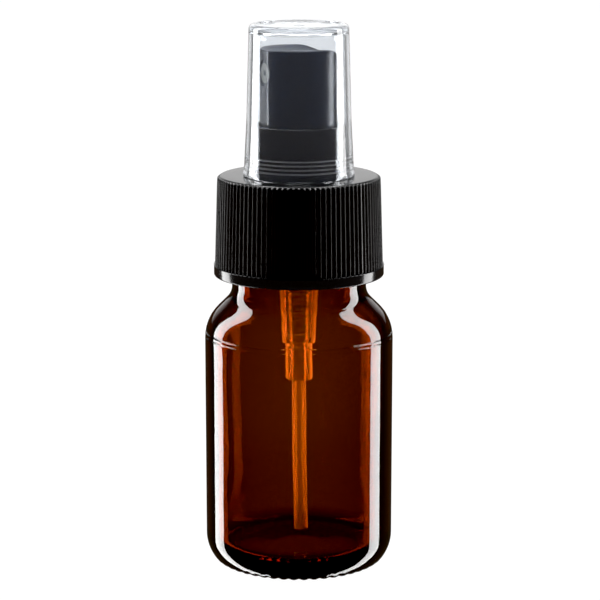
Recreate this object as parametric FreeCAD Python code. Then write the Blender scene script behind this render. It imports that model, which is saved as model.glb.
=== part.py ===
"""Fine mist spray bottle: amber glass bottle, screw collar, precompression pump and overcap.

Millimetres. +Z is up, and the origin is the centre of the bottle's base. Every piece is written
as parts/NODE.step. All round pieces share the Z axis.
"""
import FreeCAD, Part
import math
import os
from FreeCAD import Vector

UP = Vector(0, 0, 1)
ORIGIN = Vector(0, 0, 0)

# ---- rounded edges ----
FINE_EDGE = 0.1
SMALL_EDGE = 0.2
EDGE = 0.3
WIDE_EDGE = 0.5

# ---- bottle ----
BODY_R = 17.5
WALL = 1.8
NECK_R = 12.45
NECK_BORE_R = 8.6
NECK_INNER_R = 10.4             # wider bore between the shoulder and the threaded finish
FINISH_Z = 58.5                 # height from which the bore is narrow
FINISH_TAPER = 2.4
RIM_Z = 70.0
SHOULDER_CORNER_Z = 46.0        # where the body's side line meets the 45 degree shoulder line
SHOULDER_R = 8.0
NECK_FILLET_R = 3.6
HEEL_R = 7.0
STANDING_RING_R = 13.0          # inner edge of the ring that the bottle stands on
RING_SLOPE_R = 11.4             # where the slope inside that ring meets the concave base
RING_SLOPE_Z = 0.7
RING_BLEND_R = 2.0
HEEL_CORNER_R = 15.6
HEEL_CORNER_Z = 2.9
HEEL_BLEND_R = 1.8
PUSH_UP = 1.1                   # rise of the concave base
PUSH_UP_FLAT_R = 5.0
PUSH_UP_BLEND_R = 8.0
FLOOR_Z = 2.9
FLOOR_BLEND_R = 3.0
NECK_BORE_BLEND_R = 3.0
FINISH_BLEND_R = 1.0
RIM_BLEND_R = 0.7
BEAD_R = 13.5
BEAD_Z = 56.2
BEAD_H = 1.8
BEAD_SLOPE = 0.4
KNURLS = 50                     # shallow grooves across the standing ring
KNURL_R = 0.45
KNURL_DEPTH = 0.22
KNURL_LENGTH = 5.0

# ---- 28 mm screw thread, bottle and collar ----
PITCH = 3.18
THREAD_CREST_R = 13.65
THREAD_START_Z = 61.6
THREAD_TURNS = 1.5
COLLAR_CREST_R = 12.85
COLLAR_THREAD_TURNS = 1.25
THREAD_DROP = 1.25              # collar ridge below bottle ridge, which leaves 0.28 between flanks
RIDGE_BASE = 1.5
RIDGE_TIP = 0.7
RIDGE_ROOT = 0.2                # how far a ridge is sunk into its wall

# ---- closure stack above the rim ----
GASKET_T = 0.9
GASKET_CLEARANCE = 0.15
FLANGE_T = 0.6
FLANGE_R = 11.8
PLATE_T = 1.05
GASKET_Z = RIM_Z
HOUSING_FLANGE_Z = GASKET_Z + GASKET_T
TURRET_FLANGE_Z = HOUSING_FLANGE_Z + FLANGE_T
PLATE_Z = TURRET_FLANGE_Z + FLANGE_T
COLLAR_TOP_Z = PLATE_Z + PLATE_T

# ---- collar ----
COLLAR_Z = 54.6
BAND_R = 15.75
BAND_TOP_Z = 56.6
COLLAR_BORE_R = 14.0
RIBS = 98
RIB_ROOT_LOW_R = 15.24
RIB_ROOT_TOP_R = 14.72
RIB_R = 0.26
RIB_SINK = 0.06                 # rib axis outside the root surface
RIB_OVERLAP = 0.4               # ribs run this far into the band
RIB_END_Z = COLLAR_TOP_Z - 0.45
COLLAR_HOLE_R = 8.95

# ---- turret ----
TURRET_R = 8.62
TURRET_BORE_R = 7.45
TURRET_TOP_Z = 82.6
TURRET_FLOOR_T = 1.2
TURRET_HOLE_R = 1.95

# ---- overcap ----
CAP_Z = COLLAR_TOP_Z + 0.05
CAP_RIM_Z = CAP_Z + 0.7
CAP_SKIRT_Z = CAP_Z + 1.2
CAP_MOUTH_Z = CAP_Z + 1.0
CAP_TOP_Z = 100.9
CAP_RIM_R = 10.28
CAP_SKIRT_R = 10.1
CAP_WAIST_R = 9.62
CAP_WAIST_Z = 83.3
CAP_CROWN_R = 9.12
CAP_WALL = 0.82
CAP_ROOF_T = 1.1
CAP_MOUTH_R = 9.18
CAP_SEAT_R = 8.93               # inner wall above the mouth
CAP_WAIST_BLEND_R = 60.0
CAP_INNER_BLEND_R = 40.0
CAP_CROWN_BLEND_R = 0.9
CAP_DISH_R = 7.6
CAP_DISH_DEPTH = 0.35
CAP_DISH_SLOPE = 0.5
CAP_GATE_R = 0.9
CAP_GATE_H = 0.12
CAP_BEADS = 4
CAP_BEAD_Z = 74.6
CAP_BEAD_STEP = 0.75
CAP_BEAD_R = 0.28
CAP_BEAD_PROUD = 0.12

# ---- actuator ----
BUTTON_R = 7.1
BUTTON_Z = 79.0
BUTTON_TOP_Z = 96.6
BUTTON_BACK_Z = 95.0            # finger rest height at the edge away from the nozzle
BUTTON_LIP_Z = 96.4             # finger rest height at the nozzle's edge
BUTTON_WALL = 0.9
BUTTON_ROOF_Z = 93.0
BUTTON_ROOF_BLEND_R = 1.0
SCOOP_R = 16.0
BOSS_R = 2.7
BOSS_Z = 80.6
FLAT_AT = 6.85                  # flat on the button's side, below and above the nozzle
NOZZLE_HEADING = 204.0          # degrees from +X
NOZZLE_Z = 92.2
NOZZLE_BORE_R = 2.35
NOZZLE_BLOCK_R = 3.1
INSERT_R = 2.05
INSERT_FACE = 6.7               # distance of the insert's face from the stem's axis
INSERT_LENGTH = 2.64
INSERT_FACE_T = 0.62
POCKET_FLOOR = 3.2
POST_R = 1.1
POST_END = 5.99
ORIFICE_R = 0.2
FEED_R = 0.5
FEED_Z = 93.6
RISER_TOP_Z = 94.3              # closed end of the channel above the stem
COUNTERBORE = 0.06              # step between the nozzle's bore and the insert's face
SINK_R = 0.6
SINK_DEPTH = 0.3
FIT = 0.04                      # radial gap between insert and post

# ---- stem and pump ----
STEM_R = 1.7
STEM_CHANNEL_R = 0.75
STEM_Z = 63.2
STEM_TOP_Z = 89.5
STEM_FLANGE_Z = 65.4
STEM_FLANGE_T = 0.7
STEM_FLANGE_R = 2.9
RUNNING = 0.05                  # radial clearance of sliding fits
CYLINDER_R = 3.3
CYLINDER_Z = 56.0
CYLINDER_TOP_Z = 69.9
PLUG_Z = 66.2
PLUG_FLANGE_R = 4.55
PLUG_FLANGE_T = 0.8
MOUTH_R = 4.6
HOUSING_TOP_R = 5.6
HOUSING_R = 4.3
HOUSING_LOW_R = 3.0
HOUSING_STEP_Z = 41.5
HOUSING_TAPER_R = 3.89
HOUSING_TAPER_Z = 56.2
CHAMBER_LOW_R = 2.35
CHAMBER_TOP_R = 2.7
CHAMBER_Z = 43.0
SOCKET_R = 2.49
SOCKET_Z = 34.9
LEAD_IN_R = 2.1
LEAD_IN_TOP_Z = 37.2
VENT_R = 0.3
VENT_Z = 65.75
SEAT_WEB_T = 1.3                # plastic below the inlet valve's seat, which stops the tube
TAPER_H = 1.4
HOUSING_SHOULDER_H = 1.3
HOUSING_SHOULDER_Z = 68.8
CYLINDER_STEP_H = 0.6

# ---- valves and springs ----
BALL_R = 1.2
BALL_SEAT_R = 0.8
BALL_SEAT_Z = 42.0
BALL_Z = 42.93
CAGE_R = 1.3
CAGE_OUTER_R = 1.6
CAGE_LIP_R = 1.0
CAGE_LIP_Z = 44.5
CAGE_TOP_Z = 44.9
CAGE_SLOT = 0.6
CAGE_SLOT_R = 0.9
CAGE_SLOTS = 3
PISTON_Z = 60.8
PISTON_FACE_Z = 61.5
PISTON_TOP_Z = 64.6
PISTON_SEAT_R = 0.8
PISTON_FLOOR_Z = 62.4
PISTON_POCKET_Z = 63.4
PISTON_POCKET_R = 2.65
PISTON_WAIST_R = 3.05
PISTON_SKIRT_R = 2.9
PISTON_FACE_R = 2.5
PISTON_LIP_H = 0.9
PISTON_LIP_SLOPE = 0.5
PISTON_RIM_H = 0.4
PIN_Z = 57.3
PIN_FLANGE_R = 2.1
PIN_FLANGE_T = 0.8
PIN_BODY_R = 1.5
PIN_CONE_Z = 60.75
PIN_CONE_TOP_Z = 61.65
PIN_CONE_TOP_R = 0.6
PIN_SHANK_R = 0.5
PIN_HEAD_Z = 63.9
PIN_TOP_Z = 65.9
PIN_HEAD_SLOPE = 0.3
PIN_FLAT = 0.5
RETURN_WIRE = 0.45
RETURN_MEAN_R = 1.9
RETURN_TURNS = 11
PRECOMP_WIRE = 0.35
PRECOMP_MEAN_R = 2.2
PRECOMP_TURNS = 3

# ---- dip tube ----
TUBE_R = 1.31
TUBE_BORE_R = 0.88
TUBE_Z = 5.4
TUBE_BEND_Z = 34.5              # straight above, bowed below
TUBE_TOP_Z = 40.6
TUBE_BOW_R = 1000.0
TUBE_CUT = 8.0                  # degrees of slant on the lower end
TUBE_CUT_RISE = 0.3
TRIM = 20.0                     # size of the block that trims the lower end

NOZZLE = Vector(math.cos(math.radians(NOZZLE_HEADING)), math.sin(math.radians(NOZZLE_HEADING)), 0)


def outline(corners):
    """Closed wire in the XZ plane through corners (r, z) or (r, z, radius of the rounded corner)."""
    places = [Vector(corner[0], 0, corner[1]) for corner in corners]
    ends = []
    for index, corner in enumerate(corners):
        here = places[index]
        if len(corner) == 2:
            ends.append((here, None, here))
            continue
        back = (places[index - 1] - here).normalize()
        ahead = (places[(index + 1) % len(places)] - here).normalize()
        half = back.getAngle(ahead) / 2
        inward = (back + ahead).normalize()
        reach = corner[2] / math.tan(half)
        middle = here + inward * (corner[2] / math.sin(half) - corner[2])
        ends.append((here + back * reach, middle, here + ahead * reach))
    edges = []
    for index, (start, middle, end) in enumerate(ends):
        if middle is not None:
            edges.append(Part.Arc(start, middle, end).toShape())
        following = ends[(index + 1) % len(ends)][0]
        if (following - end).Length > 1e-6:
            edges.append(Part.LineSegment(end, following).toShape())
    return Part.Wire(edges)


def turned(corners):
    """Solid turned about Z from the corners of its half section."""
    return Part.Face(outline(corners)).revolve(ORIGIN, UP, 360)


def rod(radius, low, high):
    """Cylinder on the Z axis."""
    return Part.makeCylinder(radius, high - low, Vector(0, 0, low))


def tube(outer, inner, low, high):
    """Hollow cylinder on the Z axis."""
    return rod(outer, low, high).cut(rod(inner, low - 1, high + 1))


def along_nozzle(radius, start, end, height=NOZZLE_Z):
    """Cylinder along the nozzle's direction, from start to end away from the Z axis."""
    return Part.makeCylinder(radius, end - start, NOZZLE * start + UP * height, NOZZLE)


def ridge(wall_r, crest_r, start_z, turns):
    """Helical thread ridge of the shared section, from its wall to its crest."""
    sunk_r = wall_r + RIDGE_ROOT * (1 if wall_r > crest_r else -1)
    corners = [
        Vector(sunk_r, 0, -RIDGE_BASE / 2),
        Vector(crest_r, 0, -RIDGE_TIP / 2),
        Vector(crest_r, 0, RIDGE_TIP / 2),
        Vector(sunk_r, 0, RIDGE_BASE / 2),
    ]
    section = Part.makePolygon(corners + corners[:1])
    path = Part.Wire(Part.makeHelix(PITCH, PITCH * turns, wall_r))
    swept = path.makePipeShell([section], True, True)
    swept.translate(UP * start_z)
    return swept


def coil(mean_r, wire, low, high, turns):
    """Round wire compression spring between two heights."""
    rise = high - low - wire
    path = Part.Wire(Part.makeHelix(rise / turns, rise, mean_r))
    section = Part.Wire(Part.makeCircle(wire / 2, Vector(mean_r, 0, 0), Vector(0, 1, 0)))
    swept = path.makePipeShell([section], True, True)
    swept.translate(UP * (low + wire / 2))
    return swept


def around(shape, count, start=0.0):
    """Equally spaced copies of a shape about the Z axis."""
    copies = []
    for index in range(count):
        copy = shape.copy()
        copy.rotate(ORIGIN, UP, start + 360.0 * index / count)
        copies.append(copy)
    return copies


def bottle():
    inner_r = BODY_R - WALL
    inner_corner_z = SHOULDER_CORNER_Z - WALL * math.tan(math.radians(22.5))
    neck_corner_z = SHOULDER_CORNER_Z + BODY_R - NECK_R
    inner_neck_z = inner_corner_z + inner_r - NECK_INNER_R
    glass = turned([
        (0, PUSH_UP),
        (PUSH_UP_FLAT_R, PUSH_UP, PUSH_UP_BLEND_R),
        (RING_SLOPE_R, RING_SLOPE_Z, RING_BLEND_R),
        (STANDING_RING_R, 0, WIDE_EDGE),
        (HEEL_CORNER_R, 0, HEEL_BLEND_R),
        (BODY_R, HEEL_CORNER_Z, HEEL_R),
        (BODY_R, SHOULDER_CORNER_Z, SHOULDER_R),
        (NECK_R, neck_corner_z, NECK_FILLET_R),
        (NECK_R, BEAD_Z, EDGE),
        (BEAD_R, BEAD_Z + BEAD_SLOPE, EDGE),
        (BEAD_R, BEAD_Z + BEAD_H - BEAD_SLOPE, EDGE),
        (NECK_R, BEAD_Z + BEAD_H, EDGE),
        (NECK_R, RIM_Z, WIDE_EDGE),
        (NECK_BORE_R, RIM_Z, RIM_BLEND_R),
        (NECK_BORE_R, FINISH_Z, FINISH_BLEND_R),
        (NECK_INNER_R, FINISH_Z - FINISH_TAPER, FINISH_BLEND_R),
        (NECK_INNER_R, inner_neck_z, NECK_BORE_BLEND_R),
        (inner_r, inner_corner_z, SHOULDER_R - WALL),
        (inner_r, FLOOR_Z, FLOOR_BLEND_R),
        (0, FLOOR_Z),
    ])
    glass = glass.fuse(ridge(NECK_R, THREAD_CREST_R, THREAD_START_Z, THREAD_TURNS))
    groove_z = KNURL_DEPTH - KNURL_R
    groove_start = Vector(STANDING_RING_R - 1, 0, groove_z)
    groove = Part.makeCylinder(KNURL_R, KNURL_LENGTH, groove_start, Vector(1, 0, 0))
    return glass.cut(Part.makeCompound(around(groove, KNURLS, 180.0 / KNURLS)))


def neck_gasket():
    inner = HOUSING_TOP_R + GASKET_CLEARANCE
    return tube(NECK_R - GASKET_CLEARANCE, inner, GASKET_Z, GASKET_Z + GASKET_T)


def collar_rib():
    low = Vector(RIB_ROOT_LOW_R + RIB_SINK, 0, BAND_TOP_Z - RIB_OVERLAP)
    high = Vector(RIB_ROOT_TOP_R + RIB_SINK, 0, RIB_END_Z)
    run = high - low
    return Part.makeCylinder(RIB_R, run.Length, low, run).fuse(Part.makeSphere(RIB_R, high))


def screw_collar():
    shell = turned([
        (COLLAR_BORE_R, COLLAR_Z, EDGE),
        (BAND_R, COLLAR_Z, EDGE),
        (BAND_R, BAND_TOP_Z, SMALL_EDGE),
        (RIB_ROOT_LOW_R, BAND_TOP_Z),
        (RIB_ROOT_TOP_R, COLLAR_TOP_Z, WIDE_EDGE),
        (COLLAR_HOLE_R, COLLAR_TOP_Z, SMALL_EDGE),
        (COLLAR_HOLE_R, PLATE_Z),
        (COLLAR_BORE_R, PLATE_Z, EDGE),
    ])
    thread = ridge(COLLAR_BORE_R, COLLAR_CREST_R, THREAD_START_Z - THREAD_DROP, COLLAR_THREAD_TURNS)
    return shell.multiFuse(around(collar_rib(), RIBS) + [thread])


def turret():
    floor_z = TURRET_FLANGE_Z + TURRET_FLOOR_T
    return turned([
        (TURRET_HOLE_R, TURRET_FLANGE_Z),
        (FLANGE_R, TURRET_FLANGE_Z),
        (FLANGE_R, PLATE_Z),
        (TURRET_R, PLATE_Z),
        (TURRET_R, TURRET_TOP_Z, EDGE),
        (TURRET_BORE_R, TURRET_TOP_Z, SMALL_EDGE),
        (TURRET_BORE_R, floor_z, EDGE),
        (TURRET_HOLE_R, floor_z),
    ])


def overcap():
    dish_z = CAP_TOP_Z - CAP_DISH_DEPTH
    roof_z = CAP_TOP_Z - CAP_ROOF_T
    shell = turned([
        (0, dish_z),
        (CAP_DISH_R, dish_z, WIDE_EDGE),
        (CAP_DISH_R + CAP_DISH_SLOPE, CAP_TOP_Z, EDGE),
        (CAP_CROWN_R, CAP_TOP_Z, CAP_CROWN_BLEND_R),
        (CAP_WAIST_R, CAP_WAIST_Z, CAP_WAIST_BLEND_R),
        (CAP_SKIRT_R, CAP_SKIRT_Z, WIDE_EDGE),
        (CAP_RIM_R, CAP_RIM_Z, EDGE),
        (CAP_RIM_R, CAP_Z, FINE_EDGE),
        (CAP_MOUTH_R, CAP_Z),
        (CAP_SEAT_R, CAP_MOUTH_Z, WIDE_EDGE),
        (CAP_WAIST_R - CAP_WALL, CAP_WAIST_Z, CAP_INNER_BLEND_R),
        (CAP_CROWN_R - CAP_WALL, roof_z, CAP_CROWN_BLEND_R),
        (0, roof_z),
    ])
    beads = []
    bead_ring_r = CAP_SEAT_R + CAP_BEAD_R - CAP_BEAD_PROUD
    for index in range(CAP_BEADS):
        height = CAP_BEAD_Z + CAP_BEAD_STEP * index
        beads.append(Part.makeTorus(bead_ring_r, CAP_BEAD_R, UP * height))
    gate = rod(CAP_GATE_R, roof_z + CAP_WALL / 2, dish_z + CAP_GATE_H)
    return shell.multiFuse(beads + [gate])


def finger_rest():
    """Cutter for the button's concave top, a cylinder that dips away from the nozzle."""
    fall = BUTTON_LIP_Z - BUTTON_BACK_Z
    middle_z = (BUTTON_LIP_Z + BUTTON_BACK_Z) / 2
    line = (NOZZLE * (2 * BUTTON_R) + UP * fall).normalize()
    lift = UP - line * UP.dot(line)
    centre = UP * middle_z + lift.normalize() * SCOOP_R
    return Part.makeCylinder(SCOOP_R, 2 * SCOOP_R, centre - line * SCOOP_R, line)


def actuator():
    skirt = turned([
        (0, BUTTON_ROOF_Z),
        (BUTTON_R - BUTTON_WALL, BUTTON_ROOF_Z, BUTTON_ROOF_BLEND_R),
        (BUTTON_R - BUTTON_WALL, BUTTON_Z, SMALL_EDGE),
        (BUTTON_R, BUTTON_Z, SMALL_EDGE),
        (BUTTON_R, BUTTON_TOP_Z, EDGE),
        (0, BUTTON_TOP_Z),
    ])
    boss = rod(BOSS_R, BOSS_Z, BUTTON_ROOF_Z + BUTTON_WALL / 2)
    inside = rod(BUTTON_R - FINE_EDGE, BUTTON_Z, BUTTON_TOP_Z)
    block = along_nozzle(NOZZLE_BLOCK_R, 0, BUTTON_R + 1).common(inside)
    button = skirt.multiFuse([boss, block])
    height = BUTTON_TOP_Z - BUTTON_Z
    side = Part.makeBox(BUTTON_R, 2 * BUTTON_R, height + 2, Vector(FLAT_AT, -BUTTON_R, BUTTON_Z - 1))
    side.rotate(ORIGIN, UP, NOZZLE_HEADING)
    pocket = along_nozzle(INSERT_R, POCKET_FLOOR, INSERT_FACE).cut(
        along_nozzle(POST_R, POCKET_FLOOR - 1, POST_END))
    cuts = [
        finger_rest(),
        side,
        along_nozzle(NOZZLE_BORE_R, INSERT_FACE - COUNTERBORE, BUTTON_R + 1),
        pocket,
        rod(STEM_R + RUNNING, BOSS_Z - 1, STEM_TOP_Z + RUNNING),
        rod(STEM_CHANNEL_R, STEM_TOP_Z, RISER_TOP_Z),
        along_nozzle(FEED_R, 0, POCKET_FLOOR + FEED_R, FEED_Z),
    ]
    for cutter in cuts:
        button = button.cut(cutter)
    return button


def nozzle_insert():
    start = INSERT_FACE - INSERT_LENGTH
    cup = along_nozzle(INSERT_R, start, INSERT_FACE)
    cup = cup.cut(along_nozzle(POST_R + FIT, start - 1, INSERT_FACE - INSERT_FACE_T))
    cup = cup.cut(along_nozzle(ORIFICE_R, start, INSERT_FACE + 1))
    sink_start = NOZZLE * (INSERT_FACE - SINK_DEPTH) + UP * NOZZLE_Z
    sink = Part.makeCone(0, 2 * SINK_R, 2 * SINK_DEPTH, sink_start, NOZZLE)
    return cup.cut(sink)


def stem():
    return turned([
        (STEM_CHANNEL_R, STEM_Z),
        (STEM_R, STEM_Z),
        (STEM_R, STEM_FLANGE_Z),
        (STEM_FLANGE_R, STEM_FLANGE_Z, FINE_EDGE),
        (STEM_FLANGE_R, STEM_FLANGE_Z + STEM_FLANGE_T, SMALL_EDGE),
        (STEM_R, STEM_FLANGE_Z + STEM_FLANGE_T),
        (STEM_R, STEM_TOP_Z, SMALL_EDGE),
        (STEM_CHANNEL_R, STEM_TOP_Z),
    ])


def stem_plug():
    return turned([
        (STEM_R + RUNNING, PLUG_Z, FINE_EDGE),
        (CYLINDER_R - RUNNING, PLUG_Z, EDGE),
        (CYLINDER_R - RUNNING, CYLINDER_TOP_Z),
        (PLUG_FLANGE_R, CYLINDER_TOP_Z),
        (PLUG_FLANGE_R, CYLINDER_TOP_Z + PLUG_FLANGE_T),
        (STEM_R + RUNNING, CYLINDER_TOP_Z + PLUG_FLANGE_T),
    ])


def stem_seal():
    seal_z = CYLINDER_TOP_Z + PLUG_FLANGE_T
    return tube(PLUG_FLANGE_R - RUNNING, STEM_R + RUNNING, seal_z, TURRET_FLANGE_Z)


def pump_housing():
    body = turned([
        (TUBE_R, BALL_SEAT_Z - SEAT_WEB_T),
        (TUBE_R, LEAD_IN_TOP_Z),
        (LEAD_IN_R, SOCKET_Z),
        (SOCKET_R, SOCKET_Z, FINE_EDGE),
        (SOCKET_R, HOUSING_STEP_Z, FINE_EDGE),
        (HOUSING_LOW_R, HOUSING_STEP_Z, EDGE),
        (HOUSING_TAPER_R, HOUSING_TAPER_Z, WIDE_EDGE),
        (HOUSING_R, HOUSING_TAPER_Z + TAPER_H, WIDE_EDGE),
        (HOUSING_R, HOUSING_SHOULDER_Z - HOUSING_SHOULDER_H, WIDE_EDGE),
        (HOUSING_TOP_R, HOUSING_SHOULDER_Z, EDGE),
        (HOUSING_TOP_R, HOUSING_FLANGE_Z),
        (FLANGE_R, HOUSING_FLANGE_Z),
        (FLANGE_R, TURRET_FLANGE_Z),
        (MOUTH_R, TURRET_FLANGE_Z),
        (MOUTH_R, CYLINDER_TOP_Z),
        (CYLINDER_R, CYLINDER_TOP_Z),
        (CYLINDER_R, CYLINDER_Z),
        (CHAMBER_TOP_R, CYLINDER_Z - CYLINDER_STEP_H),
        (CHAMBER_LOW_R, CHAMBER_Z),
        (CAGE_OUTER_R, CHAMBER_Z),
        (CAGE_OUTER_R, CAGE_TOP_Z),
        (CAGE_LIP_R, CAGE_TOP_Z),
        (CAGE_LIP_R, CAGE_LIP_Z),
        (CAGE_R, CAGE_LIP_Z),
        (CAGE_R, BALL_SEAT_Z + CAGE_R - BALL_SEAT_R),
        (BALL_SEAT_R, BALL_SEAT_Z),
        (BALL_SEAT_R, BALL_SEAT_Z - SEAT_WEB_T),
    ])
    slot_corner = Vector(CAGE_SLOT_R, -CAGE_SLOT / 2, CHAMBER_Z)
    slot = Part.makeBox(CHAMBER_LOW_R - CAGE_SLOT_R, CAGE_SLOT, HOUSING_R, slot_corner)
    vent = Part.makeCylinder(VENT_R, HOUSING_R, Vector(0, CHAMBER_LOW_R, VENT_Z), Vector(0, 1, 0))
    return body.cut(Part.makeCompound(around(slot, CAGE_SLOTS, 30.0) + [vent]))


def inlet_ball():
    return Part.makeSphere(BALL_R, Vector(0, 0, BALL_Z))


def piston():
    lip_r = CYLINDER_R - RUNNING
    lip_z = PISTON_Z + PISTON_LIP_H
    rim_z = PISTON_TOP_Z - PISTON_RIM_H
    return turned([
        (PISTON_SEAT_R, PISTON_FACE_Z),
        (PISTON_FACE_R, PISTON_FACE_Z, EDGE),
        (PISTON_SKIRT_R, PISTON_Z),
        (lip_r, PISTON_Z, FINE_EDGE),
        (lip_r, lip_z, SMALL_EDGE),
        (PISTON_WAIST_R, lip_z + PISTON_LIP_SLOPE, SMALL_EDGE),
        (PISTON_WAIST_R, rim_z - PISTON_RIM_H, SMALL_EDGE),
        (lip_r, rim_z, FINE_EDGE),
        (lip_r, PISTON_TOP_Z, FINE_EDGE),
        (PISTON_POCKET_R, PISTON_TOP_Z, FINE_EDGE),
        (PISTON_POCKET_R, PISTON_POCKET_Z, FINE_EDGE),
        (STEM_R + RUNNING, PISTON_POCKET_Z),
        (STEM_R + RUNNING, PISTON_FLOOR_Z),
        (PISTON_SEAT_R, PISTON_FLOOR_Z),
    ])


def valve_pin():
    pin = turned([
        (0, PIN_Z),
        (PIN_FLANGE_R, PIN_Z),
        (PIN_FLANGE_R, PIN_Z + PIN_FLANGE_T, SMALL_EDGE),
        (PIN_BODY_R, PIN_Z + PIN_FLANGE_T, SMALL_EDGE),
        (PIN_BODY_R, PIN_CONE_Z),
        (PIN_CONE_TOP_R, PIN_CONE_TOP_Z),
        (PIN_SHANK_R, PIN_CONE_TOP_Z),
        (PIN_SHANK_R, PIN_HEAD_Z),
        (STEM_CHANNEL_R, PIN_HEAD_Z + PIN_HEAD_SLOPE),
        (STEM_CHANNEL_R, PIN_TOP_Z, FINE_EDGE),
        (0, PIN_TOP_Z),
    ])
    flat = Part.makeBox(1, 2, PIN_TOP_Z - PIN_HEAD_Z, Vector(PIN_FLAT, -1, PIN_HEAD_Z))
    return pin.cut(Part.makeCompound(around(flat, 2)))


def return_spring():
    return coil(RETURN_MEAN_R, RETURN_WIRE, CHAMBER_Z, PIN_Z, RETURN_TURNS)


def precompression_spring():
    return coil(PRECOMP_MEAN_R, PRECOMP_WIRE, PISTON_POCKET_Z, STEM_FLANGE_Z, PRECOMP_TURNS)


def dip_tube():
    """Tube held straight in its socket and gently bowed below it, cut at a slant at the end."""
    sweep = math.degrees((TUBE_BEND_Z - TUBE_Z + 1) / TUBE_BOW_R)
    bend = Vector(0, 0, TUBE_BEND_Z)
    rods = []
    for radius in (TUBE_R, TUBE_BORE_R):
        disc = Part.Face(Part.Wire(Part.makeCircle(radius, bend)))
        bowed = disc.revolve(bend + Vector(TUBE_BOW_R, 0, 0), Vector(0, -1, 0), sweep)
        rods.append(rod(radius, TUBE_BEND_Z, TUBE_TOP_Z).fuse(bowed))
    below = Part.makeBox(TRIM, TRIM, TRIM, Vector(-TRIM / 2, -TRIM / 2, -TRIM))
    below.rotate(ORIGIN, Vector(1, 1, 0), TUBE_CUT)
    below.translate(UP * (TUBE_Z + TUBE_CUT_RISE))
    return rods[0].cut(rods[1]).cut(below)


PARTS = {
    "bottle": bottle,
    "neck_gasket": neck_gasket,
    "screw_collar": screw_collar,
    "turret": turret,
    "overcap": overcap,
    "actuator": actuator,
    "nozzle_insert": nozzle_insert,
    "stem": stem,
    "stem_plug": stem_plug,
    "stem_seal": stem_seal,
    "piston": piston,
    "valve_pin": valve_pin,
    "precompression_spring": precompression_spring,
    "return_spring": return_spring,
    "pump_housing": pump_housing,
    "inlet_ball": inlet_ball,
    "dip_tube": dip_tube,
}

os.makedirs("parts", exist_ok=True)
for name, make in PARTS.items():
    shape = make()
    solids = shape.Solids
    if len(solids) == 1:
        shape = solids[0]
    shape.exportStep(f"parts/{name}.step")
    box = shape.BoundBox
    print(f"{name:24s} solids {len(solids)} valid {shape.isValid()} volume {shape.Volume:9.1f}"
          f" z {box.ZMin:6.2f} to {box.ZMax:6.2f} r {box.XMax:6.2f}")
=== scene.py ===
"""Looks of the fine mist spray bottle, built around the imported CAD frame. Metres, +Z up."""
import math

import bmesh
import bpy
import numpy as np
from mathutils import Matrix, Vector, noise


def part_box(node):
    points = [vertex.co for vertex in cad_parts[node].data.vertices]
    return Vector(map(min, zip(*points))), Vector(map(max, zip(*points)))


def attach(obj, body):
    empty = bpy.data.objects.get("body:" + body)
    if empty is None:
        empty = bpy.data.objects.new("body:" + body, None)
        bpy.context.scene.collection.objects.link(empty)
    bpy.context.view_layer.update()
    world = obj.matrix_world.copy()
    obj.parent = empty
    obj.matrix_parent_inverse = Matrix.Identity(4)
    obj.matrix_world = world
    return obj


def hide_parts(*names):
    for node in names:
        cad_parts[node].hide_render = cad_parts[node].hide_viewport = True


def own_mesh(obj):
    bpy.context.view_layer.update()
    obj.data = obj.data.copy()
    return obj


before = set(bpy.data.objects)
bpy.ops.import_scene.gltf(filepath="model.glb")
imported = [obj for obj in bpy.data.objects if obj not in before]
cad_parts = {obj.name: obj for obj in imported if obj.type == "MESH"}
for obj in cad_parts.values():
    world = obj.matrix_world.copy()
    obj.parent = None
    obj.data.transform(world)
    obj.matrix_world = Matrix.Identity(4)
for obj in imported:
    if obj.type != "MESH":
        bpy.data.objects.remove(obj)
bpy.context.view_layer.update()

MM = 0.001

# ---- camera: place in metres, lens in millimetres ----
CAMERA_AT = Vector((0.0002, -0.4194, 0.13814))
CAMERA_PITCH = math.radians(11.92)
CAMERA_LENS = 138.2

# ---- studio, in metres, watts and degrees round from the camera's side ----
LEFT_AT = -116.0
RIGHT_AT = 107.0
STRIP_DISTANCE = 0.5
STRIP_WIDTH = 0.176
STRIP_HEIGHT = 3.0
LEFT_POWER = 14.0
RIGHT_POWER = 13.6
LEFT_GLASS_POWER = 48.0
RIGHT_GLASS_POWER = 44.0
INNER_AT = 50.0
INNER_DISTANCE = 0.0125
INNER_WIDTH = 0.0036
INNER_HEIGHT = 0.046
INNER_Z = 0.030
INNER_POWER = 0.022
INNER_COLOUR = (1.0, 0.42, 0.03)
CLOSURE_AT = Vector((0, 0, 0.07))
FLOOR_HALF = 4.0
BACKDROP_LEVEL = 0.95
DARK_LEVEL = 0.03
LOW_GLOSS_COLOUR = (0.050, 0.030, 0.016, 1)

# ---- sizes read from the frame, in millimetres ----
BOTTLE_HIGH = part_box("bottle")[1]
BODY_R = BOTTLE_HIGH.x / MM
RIM_Z = BOTTLE_HIGH.z / MM
COLLAR_LOW, COLLAR_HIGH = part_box("screw_collar")
BAND_R = COLLAR_HIGH.x / MM
COLLAR_Z = COLLAR_LOW.z / MM
COLLAR_TOP = COLLAR_HIGH.z / MM
TURRET_LOW, TURRET_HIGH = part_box("turret")
TURRET_FLANGE_Z = TURRET_LOW.z / MM
TURRET_TOP = TURRET_HIGH.z / MM
CAP_LOW, CAP_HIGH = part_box("overcap")
CAP_RIM_R = CAP_HIGH.x / MM
CAP_Z = CAP_LOW.z / MM
CAP_TOP = CAP_HIGH.z / MM
BUTTON_LOW, BUTTON_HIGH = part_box("actuator")
BUTTON_R = BUTTON_HIGH.x / MM
BUTTON_Z = BUTTON_LOW.z / MM
BUTTON_TOP = BUTTON_HIGH.z / MM
HOUSING_LOW, HOUSING_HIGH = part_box("pump_housing")
FLANGE_R = HOUSING_HIGH.x / MM
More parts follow.
